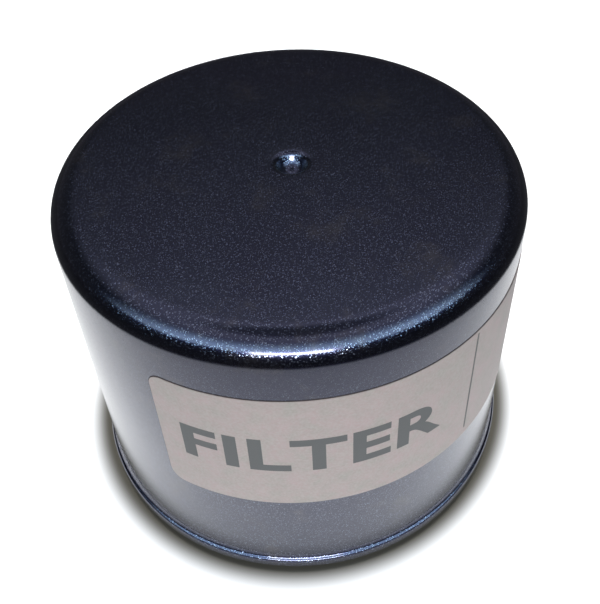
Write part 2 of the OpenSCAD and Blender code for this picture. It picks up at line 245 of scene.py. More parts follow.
# %% Helpers for materials
def linear(hex_colour):
    """Linear red, green, blue and 1 from an sRGB hex colour: the low end is a straight
    line, and the rest is ((c + 0.055) / 1.055) to the power 2.4."""
    c = np.array([int(hex_colour[i:i + 2], 16) for i in (1, 3, 5)]) / 255
    curve = np.where(c <= 0.04045, c / 12.92, ((c + 0.055) / 1.055) ** 2.4)
    return (*curve.tolist(), 1.0)


def fill(node, inputs):
    """Fills a node's inputs. A socket is linked, a node gives its first output in use,
    a hex colour is turned to linear, and anything else is set as it is."""
    for name, value in inputs.items():
        if isinstance(value, bpy.types.Node):
            value = next(socket for socket in value.outputs if socket.enabled)
        if isinstance(value, bpy.types.NodeSocket):
            node.id_data.links.new(value, node.inputs[name])
        else:
            is_hex = isinstance(value, str)
            node.inputs[name].default_value = linear(value) if is_hex else value


def add(tree, kind, inputs=None, **settings):
    """Adds one node, makes its settings and fills its inputs."""
    node = tree.nodes.new("ShaderNode" + kind)
    for name, value in settings.items():
        setattr(node, name, value)
    fill(node, inputs or {})
    return node


def grain(millimetres):
    """Texture scale at which one grain of a pattern is this many millimetres wide."""
    return 1 / (millimetres * MM)


def start(name):
    """A new material: its tree, its Principled shader, and Object coordinates."""
    material = bpy.data.materials.new(name)
    material.use_nodes = True
    tree = material.node_tree
    shader = tree.nodes["Principled BSDF"]
    place = add(tree, "TexCoord").outputs["Object"]
    return material, tree, shader, place


# Numbers of a Mix node's factor, first colour and second colour inputs
FACTOR, FIRST, SECOND = 0, 6, 7
# Settings that several nodes share
COLOURS, SMOOTH = {"data_type": "RGBA"}, {"interpolation_type": "SMOOTHSTEP"}
TIMES = {"operation": "MULTIPLY"}


# %% A plain finish
def make_finish(name, spot_mm, dark, light, rough_low, rough_high, detail=3.0,
                spots=(0.0, 1.0), pits=None, **inputs):
    """Colour and roughness drift together in spots spot_mm wide. The colour runs over
    the part of the noise that spots gives. pits, if any, are the skin's fine pits,
    their width and depth in mm."""
    material, tree, shader, place = start(name)
    noise = add(tree, "TexNoise", {"Vector": place, "Scale": grain(spot_mm), "Detail": detail})
    share = add(tree, "MapRange", {"Value": noise, "From Min": spots[0], "From Max": spots[1]})
    colour = add(tree, "Mix", {FACTOR: share, FIRST: dark, SECOND: light}, **COLOURS)
    rough = add(tree, "MapRange", {"Value": noise, "To Min": rough_low, "To Max": rough_high})
    fill(shader, {"Base Color": colour, "Roughness": rough, **inputs})
    if pits is not None:
        pit_mm, depth_mm = pits
        fine = add(tree, "TexNoise", {"Vector": place, "Scale": grain(pit_mm), "Detail": 2.0})
        skin = add(tree, "Bump", {"Height": fine, "Strength": 0.3, "Distance": depth_mm * MM})
        fill(shader, {"Normal": skin})
    return material


# %% [markdown]
# ### Stoving enamel with metal flakes
#
# The can is sprayed with a midnight-blue baked enamel. Its base coat is full of thin
# aluminium flakes that lie nearly flat, and a gloss coat seals it. Noise alone would
# look like dust, so a Voronoi pattern gives each flake its own tilt and brightness:
# the dome stays dark, and single flakes light up where they happen to mirror the lamp.


# %% Midnight-blue flake enamel
def make_can_paint():
    """Base coat of tilted flakes under a clear coat. A flake's tilt is a random vector,
    one per cell, added to the surface's normal. Real flakes are 0.05 mm across, and
    they are drawn over twice as coarse so that single ones show."""
    flake_mm = 0.13
    flat_tilt, wild_tilt = 0.06, 0.22
    material, tree, shader, place = start("flake_enamel")
    cells = add(tree, "TexVoronoi", {"Vector": place, "Scale": grain(flake_mm)})
    centred = add(tree, "VectorMath", {0: cells.outputs["Color"], 1: (0.5, 0.5, 0.5)},
                  operation="SUBTRACT")
    # Most flakes lie flat. Every fifth stands more or less at an angle, and is brighter
    pick = add(tree, "SeparateColor", {"Color": cells.outputs["Color"]}).outputs["Blue"]
    wild = add(tree, "MapRange", {"Value": pick, "From Min": 0.8}, **SMOOTH)
    tilt = add(tree, "MapRange", {"Value": wild, "To Min": flat_tilt, "To Max": wild_tilt})
    lean = add(tree, "VectorMath", {0: centred, "Scale": tilt}, operation="SCALE")
    normal = add(tree, "NewGeometry").outputs["Normal"]
    leant = add(tree, "VectorMath", {0: normal, 1: lean}, operation="ADD")
    unit = add(tree, "VectorMath", {0: leant}, operation="NORMALIZE")
    # Clouds of slightly uneven spraying, some 14 mm wide
    cloud = add(tree, "TexNoise", {"Vector": place, "Scale": grain(14), "Detail": 3.0})
    base = add(tree, "Mix", {FACTOR: cloud, FIRST: "#252b44", SECOND: "#2b2c45"}, **COLOURS)
    colour = add(tree, "Mix", {FACTOR: wild, FIRST: base, SECOND: "#7c8496"}, **COLOURS)
    # Handling marks: dull, dusty patches some 9 mm wide in the gloss
    marks = add(tree, "TexNoise", {"Vector": place, "Scale": grain(9), "Detail": 6.0,
                                   "Roughness": 0.65})
    dull = add(tree, "MapRange", {"Value": marks, "From Min": 0.54, "From Max": 0.72}, **SMOOTH)
    dusty = add(tree, "Math", {0: dull, 1: 0.3}, **TIMES)
    worn = add(tree, "Mix", {FACTOR: dusty, FIRST: colour, SECOND: "#6b665f"}, **COLOURS)
    gloss = add(tree, "MapRange", {"Value": dull, "To Min": 0.08, "To Max": 0.2})
    # Orange peel of the clear coat: shallow waves 2 mm wide
    peel = add(tree, "TexNoise", {"Vector": place, "Scale": grain(2.0), "Detail": 1.0})
    wave = add(tree, "Bump", {"Height": peel, "Strength": 0.06, "Distance": 0.02 * MM})
    fill(shader, {"Base Color": worn, "Normal": unit, "Coat Roughness": gloss,
                  "Coat Normal": wave, "Metallic": 1.0, "Roughness": 0.21, "Coat Weight": 1.0,
                  "Coat IOR": 1.5})
    return material


can_paint = make_can_paint()

# %% [markdown]
# ### Silver label film and its ink
#
# The label is a polyester film with a silver layer and a matt finish. It isn't a
# mirror: the eye sees a warm grey with faint cloudy spots. The ink is a flat dark grey
# that takes a little of the film's grain.


# %% Matt silver film, its ink and a dark rim round its edge
def make_label_film():
    """Part metal, part matt varnish: the colour drifts in spots 3 mm wide, and a fine
    grain 0.4 mm wide breaks up the shine."""
    material, tree, shader, place = start("silver_film")
    spots = add(tree, "TexNoise", {"Vector": place, "Scale": grain(3.2), "Detail": 6.0,
                                   "Roughness": 0.7})
    fine = add(tree, "TexNoise", {"Vector": place, "Scale": grain(0.4), "Detail": 3.0})
    tint = add(tree, "MapRange", {"Value": spots, "From Min": 0.35, "From Max": 0.65})
    clouds = add(tree, "Mix", {FACTOR: tint, FIRST: "#998786", SECOND: "#89857e"}, **COLOURS)
    speck = add(tree, "MapRange", {"Value": fine, "From Min": 0.3, "From Max": 0.7,
                                   "To Max": 0.5})
    colour = add(tree, "Mix", {FACTOR: speck, FIRST: clouds, SECOND: "#a69f9c"}, **COLOURS)
    rough = add(tree, "MapRange", {"Value": fine, "To Min": 0.42, "To Max": 0.56})
    dimples = add(tree, "Bump", {"Height": fine, "Strength": 0.12, "Distance": 0.01 * MM})
    fill(shader, {"Base Color": colour, "Roughness": rough, "Normal": dimples, "Metallic": 0.35,
                  "IOR": 1.55})
    return material


label_film = make_label_film()
# Screen-printed ink: dark grey, matt, with pinholes of the film's grain
ink = make_finish("screen_ink", 0.3, "#3e3f3f", "#515252", 0.45, 0.7, IOR=1.5)
# A thin brown-black rim under the film that stands out round its edge
dark_rim = make_finish("label_dark_rim", 0.8, "#1f1a1b", "#453b3a", 0.6, 0.6, IOR=1.47)

# %% [markdown]
# ### Bare metals
#
# The sheet parts are tinplate or zinc-plated steel. Rolling leaves fine parallel lines
# across the whole sheet, all in one direction even after pressing, so the grain is a
# noise stretched along X. Metals keep the default IOR: the colour does the work.


# %% Rolled and plated sheet metals, and spring wire
def make_sheet_metal(name, dark, light, rough_low, rough_high, line_mm=0.15, stretch=14):
    """Metal sheet with rolling lines line_mm apart, stretched along X, under stains
    some 6 mm wide that also dull the shine."""
    material, tree, shader, place = start(name)
    squeeze = add(tree, "Mapping", {"Vector": place, "Scale": (1 / stretch, 1, 1)})
    lines = add(tree, "TexNoise", {"Vector": squeeze, "Scale": grain(line_mm), "Detail": 2.0})
    stains = add(tree, "TexNoise", {"Vector": place, "Scale": grain(6), "Detail": 5.0})
    colour = add(tree, "Mix", {FACTOR: stains, FIRST: dark, SECOND: light}, **COLOURS)
    mixed = add(tree, "Math", {0: lines, 1: stains}, **TIMES)
    rough = add(tree, "MapRange", {"Value": mixed, "From Min": 0.1, "From Max": 0.45,
                                   "To Min": rough_low, "To Max": rough_high})
    scratches = add(tree, "Bump", {"Height": lines, "Strength": 0.25, "Distance": 0.01 * MM})
    fill(shader, {"Base Color": colour, "Roughness": rough, "Normal": scratches, "Metallic": 1.0})
    return material


# Tinplate: bright, a little warm, with clear rolling lines
tinplate = make_sheet_metal("tinplate", "#a9a69d", "#d3d0c7", 0.22, 0.42)
# Zinc-plated end caps and tube: cooler, with duller patches
zinc_plate = make_sheet_metal("zinc_plated_sheet", "#9ba0a1", "#c9cccb", 0.28, 0.5)
# Cage and valve disc: plain cold-rolled steel, oiled
oiled_steel = make_sheet_metal("oiled_cold_rolled_steel", "#7f7f7c", "#b1b0ac", 0.25, 0.4)
# Thick stamped base plate, phosphated: grey and dull
plate_steel = make_sheet_metal("phosphated_plate_steel", "#6e6f6c", "#a19f99", 0.35, 0.6,
                               line_mm=0.3, stretch=6)

# Patented spring wire: dark grey-blue temper colour with bright rubbed spots
spring_steel = make_finish("drawn_spring_wire", 1.0, "#62666c", "#a3a6aa", 0.22, 0.42,
                           spots=(0.45, 0.7), Metallic=1.0)

# %% [markdown]
# ### Rubber, glue and paper
#
# Nitrile rubber is black with a soft sheen and a bloom of grey dust. The drainback
# valve is a red silicone, the end caps' bond is a brick-red plastisol, and the paper
# is resin-dipped cellulose, where single fibres show as pale and dark threads.

# %% Moulded rubbers, sealing compound and plastisol
cloud_mm, cloud_detail = 2.5, 5.0
# Nitrile gasket: black, with a film of assembly oil that keeps it half glossy
nitrile = make_finish("nitrile_rubber", cloud_mm, "#101011", "#2a2a2a", 0.32, 0.52,
                      cloud_detail, pits=(0.2, 0.01), IOR=1.52)
# Silicone valve: brick orange, waxy
silicone = make_finish("red_silicone", cloud_mm, "#8c2f1a", "#b04a2c", 0.4, 0.6,
                       cloud_detail, pits=(0.2, 0.01), IOR=1.43)
# Water-based can-sealing compound: black-grey and dull
compound = make_finish("seam_compound", cloud_mm, "#1d1d1c", "#33322f", 0.6, 0.8,
                       cloud_detail, pits=(0.4, 0.01), IOR=1.5)
# Plastisol: thick brick-red paste, cured with a lumpy skin
plastisol = make_finish("plastisol", cloud_mm, "#7c3325", "#a8523c", 0.38, 0.58,
                        cloud_detail, pits=(0.7, 0.08), IOR=1.54)


# %% Resin-dipped filter paper
def make_filter_paper():
    """Cellulose fibres as two crossing sets of stretched noise, fibres 0.12 mm wide and
    1.5 mm long, over the resin's honey tint."""
    fibre_mm = 0.12
    material, tree, shader, place = start("filter_paper")
    fibres = []
    for stretch in ((0.08, 0.6, 1.0), (0.6, 1.0, 0.08)):
        squeeze = add(tree, "Mapping", {"Vector": place, "Scale": stretch,
                                        "Rotation": (0.4, 0.3, 0.5)})
        fibres.append(add(tree, "TexNoise", {"Vector": squeeze, "Scale": grain(fibre_mm),
                                             "Detail": 2.0}))
    web = add(tree, "Math", {0: fibres[0], 1: fibres[1]}, operation="MAXIMUM")
    shade = add(tree, "MapRange", {"Value": web, "From Min": 0.42, "From Max": 0.72})
    colour = add(tree, "Mix", {FACTOR: shade, FIRST: "#b9904e", SECOND: "#ead6a6"}, **COLOURS)
    felt = add(tree, "Bump", {"Height": web, "Strength": 0.5, "Distance": 0.03 * MM})
    fill(shader, {"Base Color": colour, "Normal": felt, "Roughness": 0.82, "IOR": 1.5})
    return material


filter_paper = make_filter_paper()
print("materials:", len(bpy.data.materials))

# %% [markdown]
# ## The can
#
# The can is deep-drawn from one disc of steel and its hem is rolled in under the lid's
# edge. The looks hang on its curves: the rim mirrors the lamp as a thin line, the
# dimple catches a spot of it, and the seam's hollow darkens. So the outline is built
# arc by arc, outside and inside, and is then turned round the axis.

# %% Sizes of the can's outline
rim_r = 4.5
hollow_r = 1.2
edge_r = 0.8
fold_mid, fold_r = seam_r - edge_r, edge_r
edge_z = seam_low + fold_r + 1.0
hollow_z = edge_z + np.sqrt(2 * seam_out * (hollow_r + edge_r) - seam_out ** 2)
hook_drop = 0.4
hook_z = edge_z - hook_drop
# The dimple: a round nose, a short straight wall at a slope, and a wide round lip
nose_r, lip_r, lip_x, slope = 2.33, 1.1, 3.4, 64
tilt = np.radians(slope)
wall_drop = np.tan(tilt) * (lip_x - (lip_r + nose_r) * np.sin(tilt))
nose_z = top - lip_r * (1 - np.cos(tilt)) - wall_drop + nose_r * np.cos(tilt)
print("dimple", round(top - nose_z + nose_r, 2), "mm deep")
# Angle at which the seam's hollow and its round edge touch
touch = np.degrees(np.arctan2(hollow_z - edge_z, can_r + hollow_r - fold_mid))


# %% The can's outline, from the dimple over the rim to the hem and back inside
def can_outline():
    """Arcs that touch each other, joined by straight stretches. The inside has the same
    centres, and radii that differ by the sheet."""
    outside = [
        arc(0, nose_z, nose_r, -90, slope - 90, 16),
        arc(lip_x, top - lip_r, lip_r, 90 + slope, 90, 14),
        arc(can_r - rim_r, top - rim_r, rim_r, 90, 0, 28),
        arc(can_r + hollow_r, hollow_z, hollow_r, 180, 180 + touch, 8),
        arc(fold_mid, edge_z, edge_r, touch, 0, 8)[1:],
        arc(fold_mid, seam_low + fold_r, fold_r, 0, -180, 18),
        [[seam_r - 2 * fold_r, hook_z], [seam_r - 2 * fold_r + can_wall, hook_z]],
        arc(fold_mid, seam_low + fold_r, fold_r - can_wall, 180, 360, 10),
        arc(fold_mid, edge_z, edge_r - can_wall, 0, touch, 5),
        arc(can_r + hollow_r, hollow_z, hollow_r + can_wall, 180 + touch, 180, 6)[1:],
        arc(can_r - rim_r, top - rim_r, rim_r - can_wall, 0, 90, 12),
        arc(lip_x, top - lip_r, lip_r - can_wall, 90, 90 + slope, 8),
        arc(0, nose_z, nose_r + can_wall, slope - 90, -90, 10),
    ]
    return spread(np.concatenate([np.asarray(part, float) for part in outside]), 1.5)


def seam_wear(r, z, t):
    """The seam is rolled by hand-fed tools, so it isn't a perfect circle: slow waves of
    0.03 mm, and three small flats on the lower edge at the front left."""
    low = np.clip((hollow_z - z) / (hollow_z - seam_low), 0, 1) * (r > can_r - 1.5)
    slow, fast = 0.02, 0.012
    waves = slow * np.sin(5 * t + 0.7) + fast * np.sin(13 * t + 2.1)
    flats = np.zeros_like(t)
    for angle, width, depth in ((-103, 1.6, 0.14), (-98, 0.9, 0.10), (-108, 1.1, 0.08)):
        away = (np.degrees(t) - angle + 180) % 360 - 180
        flats = flats + depth * np.exp(-(away / width) ** 2)
    return r + low * waves - low ** 3 * flats * 0.5, z + low ** 2 * (waves * 0.3 + flats * 0.4)


can = turned("canister_skin", can_outline(), around=360, on_axis=True, warp=seam_wear)
settle(can, can_paint, "canister")
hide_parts("canister")

# %% [markdown]
# ## The label
#
# The label is a thin film wrapped round the can. A grid of (angle, height) gives it
# exact round corners: in each row the left and right ends move in along the corner's
# circle. The same function makes a thin dark rim under it, a little larger.

# %% Where the label lies
label_low, label_high = reach("label", Z)
film_t = 0.12
film_lift = 0.03
label_from = -125.0
label_len = 139.0
label_corner = 2.4
print("label from", label_low, "to", label_high)


# %% A closed patch wrapped round the can
def wrapped_patch(name, s0, s1, z0, z1, corner, r_in, r_out, step=0.8):
    """A film on a cylinder. Row v is at a height z, and its ends lie a corner's radius
    times 1 - sqrt(1 - d^2) further in, where d is how far z is up the corner. Columns
    share each row evenly. s runs round the can in mm from the label's left edge."""
    corner_rows, middle_rows = 9, 12
    rounding = np.sin(np.radians(np.linspace(0, 90, corner_rows)))
    z = np.concatenate([z0 + corner * (1 - rounding[::-1]),
                        np.linspace(z0 + corner, z1 - corner, middle_rows + 2)[1:-1],
                        z1 - corner * (1 - rounding)])
    d = np.concatenate([rounding[::-1], np.zeros(middle_rows), rounding])
    inset = corner * (1 - np.sqrt(np.clip(1 - d ** 2, 0, 1)))
    columns = int((s1 - s0) / step) + 1
    u = np.linspace(0, 1, columns)[None, :]
    s = (s0 + inset)[:, None] * (1 - u) + (s1 - inset)[:, None] * u
    angle = np.radians(label_from) + s / can_r
    height = z[:, None] + 0 * u
    layers = [np.stack([r * np.cos(angle), r * np.sin(angle), height], -1)
              for r in (r_out, r_in)]
    rows = len(z)
    count = rows * columns
    front = grid_faces(rows, columns, False, False)
    back = (np.array(front)[:, ::-1] + count).tolist()
    number = np.arange(count).reshape(rows, columns)
    rim = np.concatenate([number[0, :-1], number[:-1, -1], number[-1, :0:-1],
                          number[:0:-1, 0]])
    ahead = np.roll(rim, -1)
    sides = np.column_stack([rim, rim + count, ahead + count, ahead]).tolist()
    return new_mesh(name, np.concatenate([p.reshape(-1, 3) for p in layers]),
                    front + back + sides)


film = wrapped_patch("label_film_sheet", 0, label_len, label_low, label_high, label_corner,
                     can_r + film_lift, can_r + film_t)
settle(film, label_film, "label")
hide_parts("label")
# The dark rim shows at the sides and on top
dark_rim_out, dark_rim_in, dark_rim_t, sunk = 0.13, 0.1, 0.04, 0.02
dark_rim_sheet = wrapped_patch("label_dark_rim_sheet", -dark_rim_out, label_len + dark_rim_out,
                         label_low + dark_rim_in, label_high + dark_rim_out,
                         label_corner + dark_rim_out, can_r - sunk, can_r + dark_rim_t)
settle(dark_rim_sheet, dark_rim, "label")

# %% [markdown]
# ### Print on the label
#
# The print says only what the part is, in plain capitals. Text is a flat curve, so it
# is made a mesh first, cut into narrow strips so that it can bend, and laid on the
# cylinder: x becomes an angle and y a height. A thin Solidify makes the ink a layer.

# %% Bend flat print round the can
label_r_out = can_r + film_t
INK_T = 0.02
STRIP_WIDE = 0.7


def points_of(mesh):
    """A mesh's points as an array."""
    flat = np.zeros(len(mesh.vertices) * 3)
    mesh.vertices.foreach_get("co", flat)
    return flat.reshape(-1, 3)


def print_on_label(thing, s_left, z_base):
    """Lays a flat mesh in mm on the label: a point (x, y) goes to the angle of
    s_left + x round the can and the height z_base + y."""
    work = bmesh.new()
    work.from_mesh(thing.data)
    xs = [v.co.x for v in work.verts]
    for cut in np.arange(min(xs), max(xs), STRIP_WIDE)[1:]:
        bmesh.ops.bisect_plane(work, geom=work.verts[:] + work.edges[:] + work.faces[:],
                               plane_co=(cut, 0, 0), plane_no=(1, 0, 0))
    bmesh.ops.remove_doubles(work, verts=work.verts, dist=1e-4)
    work.to_mesh(thing.data)
    work.free()
    flat = points_of(thing.data)
    angle = np.radians(label_from) + (s_left + flat[:, 0]) / can_r
    r = label_r_out + INK_T
    placed = np.column_stack([r * np.cos(angle), r * np.sin(angle), z_base + flat[:, 1]])
    thing.data.vertices.foreach_set("co", (placed * MM).ravel())
    thing.data.shade_flat()
    thing.data.update()
    layer = thing.modifiers.new("ink_layer", "SOLIDIFY")
    layer.thickness = 2 * INK_T * MM
    layer.offset = -1
    settle(thing, ink, "label")


def flat_mesh(name, points, faces):
    """A flat mesh in mm, ready to be laid on the label."""
    mesh = bpy.data.meshes.new(name)
    mesh.from_pydata([(x, y, 0) for x, y in points], [], faces)
    return linked(name, mesh)


# %% The word, in the built-in font
word_high, word_wide = 8.0, 41.0
word_left, word_base = 4.0, label_low + 9.3
word_bold, word_spacing = 0.28, 1.06


def flat_word(name, body, wide, high):
    """A word as a flat mesh scaled to a width and a height in mm, left end at x = 0 and
    base line at y = 0."""
    curve = bpy.data.curves.new(name, "FONT")
    curve.body = body
    curve.size = 10
    curve.offset = word_bold
    curve.space_character = word_spacing
    draft = linked(name + "_draft", curve)
    mesh = finished_mesh(draft)
    bpy.data.objects.remove(draft)
    co = points_of(mesh)
    low, size = co.min(0), np.ptp(co, axis=0)
    co[:, :2] = (co[:, :2] - low[:2]) * (wide, high) / size[:2]
    co[:, 2] = 0
    mesh.vertices.foreach_set("co", co.ravel())
    mesh.update()
    return linked(name, mesh)


word = flat_word("print_word", "FILTER", word_wide, word_high)
print_on_label(word, word_left, word_base)

# %% The rule and the bars
rule_at, rule_base, rule_wide, rule_high = 51.5, 1.9, 0.35, 24.1
bars_at, bars_base, bar_high, bar_every = 98.0, 6.0, 1.2, 4.0
bar_widths = (30.0, 26.0, 30.0, 18.0)


def flat_bars(name, widths, high, every=0.0):
    """Rectangles that start at x = 0, one above the other."""
    corners, faces = [], []
    for i, wide in enumerate(widths):
        y = every * i
        faces.append(tuple(range(4 * i, 4 * i + 4)))
        corners += [(0, y), (wide, y), (wide, y + high), (0, y + high)]
    return flat_mesh(name, corners, faces)


rule = flat_bars("print_rule", [rule_wide], rule_high)
print_on_label(rule, rule_at, label_low + rule_base)
bars = flat_bars("print_bars", bar_widths, bar_high, bar_every)
print_on_label(bars, bars_at, label_low + bars_base)

# %% [markdown]
# ### Which way to turn
#
# Such labels show how to screw the filter on, here by a plain ring with an arrow head:
# a band between two circles that stops short of a full turn.


# %% The turning arrow
def turning_arrow(name, radius, band, gap_deg):
    """Points at radius +- half a band, over all angles but a gap, and a triangle whose
    base is three bands wide at the end."""
    a = np.radians(np.linspace(90 + gap_deg, 90 + 360 - gap_deg, 60))
    ring = [((radius + side) * np.cos(a), (radius + side) * np.sin(a))
            for side in (-band / 2, band / 2)]
    points = [(x, y) for xs, ys in ring for x, y in zip(xs, ys)]
    count = len(a)
    faces = [(i, i + 1, i + 1 + count, i + count) for i in range(count - 1)]
    tip_turn = a[0] - 2.2 * band / radius
    head = [((radius + side) * np.cos(turn), (radius + side) * np.sin(turn))
            for side, turn in ((-1.5 * band, a[0]), (1.5 * band, a[0]), (0, tip_turn))]
    faces.append((len(points), len(points) + 1, len(points) + 2))
    return flat_mesh(name, points + head, faces)


arrow_at, arrow_r, arrow_band, arrow_gap = 84.0, 6.0, 1.5, 28
arrow = turning_arrow("print_arrow", arrow_r, arrow_band, arrow_gap)
print_on_label(arrow, arrow_at, (label_low + label_high) / 2)

# %% [markdown]
# ## The underside
#
# Below, the lid is a pressed ring that hooks into the can's hem, holds the gasket in a
# groove and is spot-welded to the thick base plate. Its path is drawn as the middle of
# the sheet, rounded at each bend, and then given its thickness on both sides.

# %% Seaming lid
lid_t = 0.5
gasket_high = reach("base_gasket", Z)[1]
ceiling = gasket_high + lid_t / 2
lid_in, hook_gap, bend = 23.0, 0.05, 0.5
flank_z, hook_end_z, outer_fold_z = seam_low + 1.2, seam_low + 0.95, seam_low + 0.825
hook_x = seam_r - can_wall - hook_gap - lid_t / 2
inner_hook_x = seam_r - 2 * fold_r - hook_gap - lid_t / 2
groove_out, groove_in, rib_in = 35.75, 30.45, 29.45
outer_fold, inner_fold = (inner_hook_x - groove_out) / 2, (groove_in - rib_in) / 2
lid_path = np.concatenate([
    [[hook_x, hook_end_z]],
    arc((hook_x + inner_hook_x) / 2, hook_z, (hook_x - inner_hook_x) / 2, 0, 180, 14),
    arc((inner_hook_x + groove_out) / 2, outer_fold_z, outer_fold, 0, -180, 12),
    rounded([[groove_out, flank_z], [groove_out, ceiling], [groove_in, ceiling],
             [groove_in, flank_z]], bend, closed=False, steps=6),
    arc((groove_in + rib_in) / 2, hook_end_z, inner_fold, 0, -180, 12),
    rounded([[rib_in, flank_z], [rib_in, ceiling], [lid_in, ceiling]], bend,
            closed=False, steps=6),
])


def weld_dents(r, z, t):
    """Six spot welds leave round dents from below: 0.15 mm deep in the flange, with a
    flat middle of 1.6 mm radius and a soft edge, and a faint raised ring."""
    weld_at, weld_r, weld_deep, soft = 26.1, 1.6, 0.15, 0.12
    ring_at, ring_wide, ring_high = 0.35, 0.2, 0.04
    gap = t % (np.pi / 3) - np.pi / 6
    away = np.hypot(r - weld_at * np.cos(gap), weld_at * np.sin(gap))
    dent = weld_deep / (1 + np.exp((away - weld_r) / soft))
    ring = ring_high * np.exp(-((away - weld_r - ring_at) / ring_wide) ** 2)
    below = (z < ceiling) & (r < rib_in - 0.6)
    return r, z + below * (dent - ring)


lid = turned("seaming_lid_ring", spread(pressed(spread(lid_path, 0.35), lid_t), 0.4, True),
             around=360, warp=weld_dents)
settle(lid, tinplate, "seaming_lid")
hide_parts("seaming_lid")

# %% [markdown]
# ### Base plate and its thread
#
# The plate is stamped from thick steel, its collar is drawn up out of it, and a 3/4-16
# thread is cut inside. The thread is a real helix: in the bore, the radius grows and
# shrinks with height minus the share of a turn, as a V that fades out at both ends.

# %% Base plate
plate_low, collar_top = reach("base_plate", Z)
plate_r = reach("base_plate", X)[1]
plate_t = 3.0
plate_top = plate_low + plate_t
bore_r, collar_r = 8.75, 11.0
pitch = 25.4 / 16
thread_deep = 0.72
lead_in = 0.6
thread_z0, thread_z1 = plate_low + lead_in, collar_top - lead_in
bore_rows = np.linspace(thread_z1, thread_z0, 96)
plate_outline = np.concatenate([
    rounded([[bore_r + lead_in, plate_low], [plate_r, plate_low], [plate_r, plate_top],
             [collar_r, plate_top], [collar_r, collar_top],
             [bore_r + lead_in, collar_top]],
            [0.01, 0.35, 0.6, 0.8, 0.6, 0.01], steps=5),
    np.column_stack([np.full(len(bore_rows), bore_r), bore_rows]),
])


def cut_thread(r, z, t):
    """A 60 degree thread. The groove's share of its depth is the distance from the
    crest's middle, in half pitches, less the crest and over the flank, from 0 to 1."""
    crest, flank = 0.25, 0.62
    phase = (z / pitch - t / (2 * np.pi)) % 1
    groove = np.clip((np.abs(2 * phase - 1) - crest) / flank, 0, 1)
    ends = np.clip(np.minimum(z - thread_z0, thread_z1 - z) / pitch, 0, 1)
    return r + (r < bore_r + 0.01) * thread_deep * groove * ends, z


plate = turned("base_plate_body", spread(plate_outline, 1.4, True), warp=cut_thread)

# %% Punch the inlet holes
inlet_r, inlet_ring, inlet_count, inlet_lead = 3.0, 17.0, 8, 0.25


def punch_holes(target, radius, ring, count, z0, z1, lead):
    """Cuts holes with rounded-off edges: each punch is a column that widens by lead at
    both faces of the plate."""
    over = 2.0
    a = np.linspace(0, 2 * np.pi, 48, endpoint=False)
    r = radius + 2 * lead * np.array([1, 1, 0, 0, 1, 1])
    z = np.array([z0 - over, z0 - lead, z0 + lead, z1 - lead, z1 + lead, z1 + over])
    points, faces = [], []
    for k in range(count):
        middle = 2 * np.pi * k / count
        x = ring * np.cos(middle) + r[:, None] * np.cos(a)
        y = ring * np.sin(middle) + r[:, None] * np.sin(a)
        first = len(r) * len(a) * k
        points.append(np.stack([x, y, z[:, None] + 0 * a], -1).reshape(-1, 3))
        faces += (np.array(grid_faces(len(r), len(a), False, True)) + first).tolist()
        faces.append((np.arange(len(a))[::-1] + first).tolist())
        faces.append((np.arange(len(a)) + first + (len(r) - 1) * len(a)).tolist())
    punch = new_mesh("punch", np.concatenate(points), faces)
    cut = target.modifiers.new("holes", "BOOLEAN")
    cut.object = punch
    cut.solver = "EXACT"
    done = finished_mesh(target)
    target.modifiers.clear()
    target.data = done
    smooth_shade(done)
    bpy.data.objects.remove(punch)


punch_holes(plate, inlet_r, inlet_ring, inlet_count, plate_low, plate_top, inlet_lead)
settle(plate, plate_steel, "base_plate")
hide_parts("base_plate")

# %% [markdown]
# ### Gasket and drainback valve
#
# The gasket is a square rubber ring whose edges are rounded by its mould, with the
# mould's thin parting line round its outer side. The valve is one soft moulding: a
# flange, a neck and a thin skirt that lies on the plate.

# %% Base gasket
gasket_low = reach("base_gasket", Z)[0]
gasket_out = reach("base_gasket", X)[1]
gasket_wide = 4.4
gasket_in = gasket_out - gasket_wide
half_high = (gasket_low + gasket_high) / 2
flash, flash_h = 0.06, 0.08
gasket_outline = rounded(
    [[gasket_in, gasket_low], [gasket_out, gasket_low], [gasket_out, half_high - flash_h],
     [gasket_out + flash, half_high], [gasket_out, half_high + flash_h],
     [gasket_out, gasket_high], [gasket_in, gasket_high]],
    [0.5, 0.5, 0.02, 0.03, 0.02, 0.3, 0.3], steps=6)
gasket = turned("base_gasket_ring", spread(gasket_outline, 0.8, True), around=300)
settle(gasket, nitrile, "base_gasket")
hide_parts("base_gasket")

# %% Anti-drainback valve
valve_high = reach("anti_drainback_valve", Z)[1]
lip_r_out = reach("anti_drainback_valve", X)[1]
neck_in, neck_out, skirt_t = collar_r + 0.1, collar_r + 1.3, 1.2
neck_z = collar_top - 2.5
lip_wide, flange_in, flange_out = 0.8, 10.0, neck_out + 2.4
valve_outline = rounded(
    [[flange_in, collar_top], [neck_in, collar_top], [neck_in, neck_z],
     [lip_r_out - lip_wide, plate_top], [lip_r_out, plate_top],
     [lip_r_out, plate_top + skirt_t / 2], [neck_out, neck_z + skirt_t],
     [neck_out, collar_top], [flange_out, collar_top + skirt_t / 4],
     [flange_out, valve_high], [flange_in, valve_high]],
    [0.2, 0.05, 0.6, 0.1, 0.2, 0.3, 1.2, 0.6, 0.3, 0.3, 0.2], steps=6)
valve = turned("drainback_valve_skirt", spread(valve_outline, 1.0, True))
settle(valve, silicone, "anti_drainback_valve")
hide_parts("anti_drainback_valve")

# %% [markdown]
# ## The element
#
# Filter paper is folded into pleats. The outline seen from above is a closed zigzag
# with rounded folds, moved half a paper's thickness to each side. Real pleats also lean
# a little out of true between the caps, which a slow wave along the height gives.

# %% Pleated paper
paper_low, paper_high = reach("pleated_media", Z)
paper_out = round(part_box("pleated_media")[1].x / MM, 2)
paper_in, paper_t, pleats = 13.85, 0.55, 46
fold_out, fold_in = 0.675, 0.425
lean, lean_step, flank_mm2 = 0.16, 2.4, 60


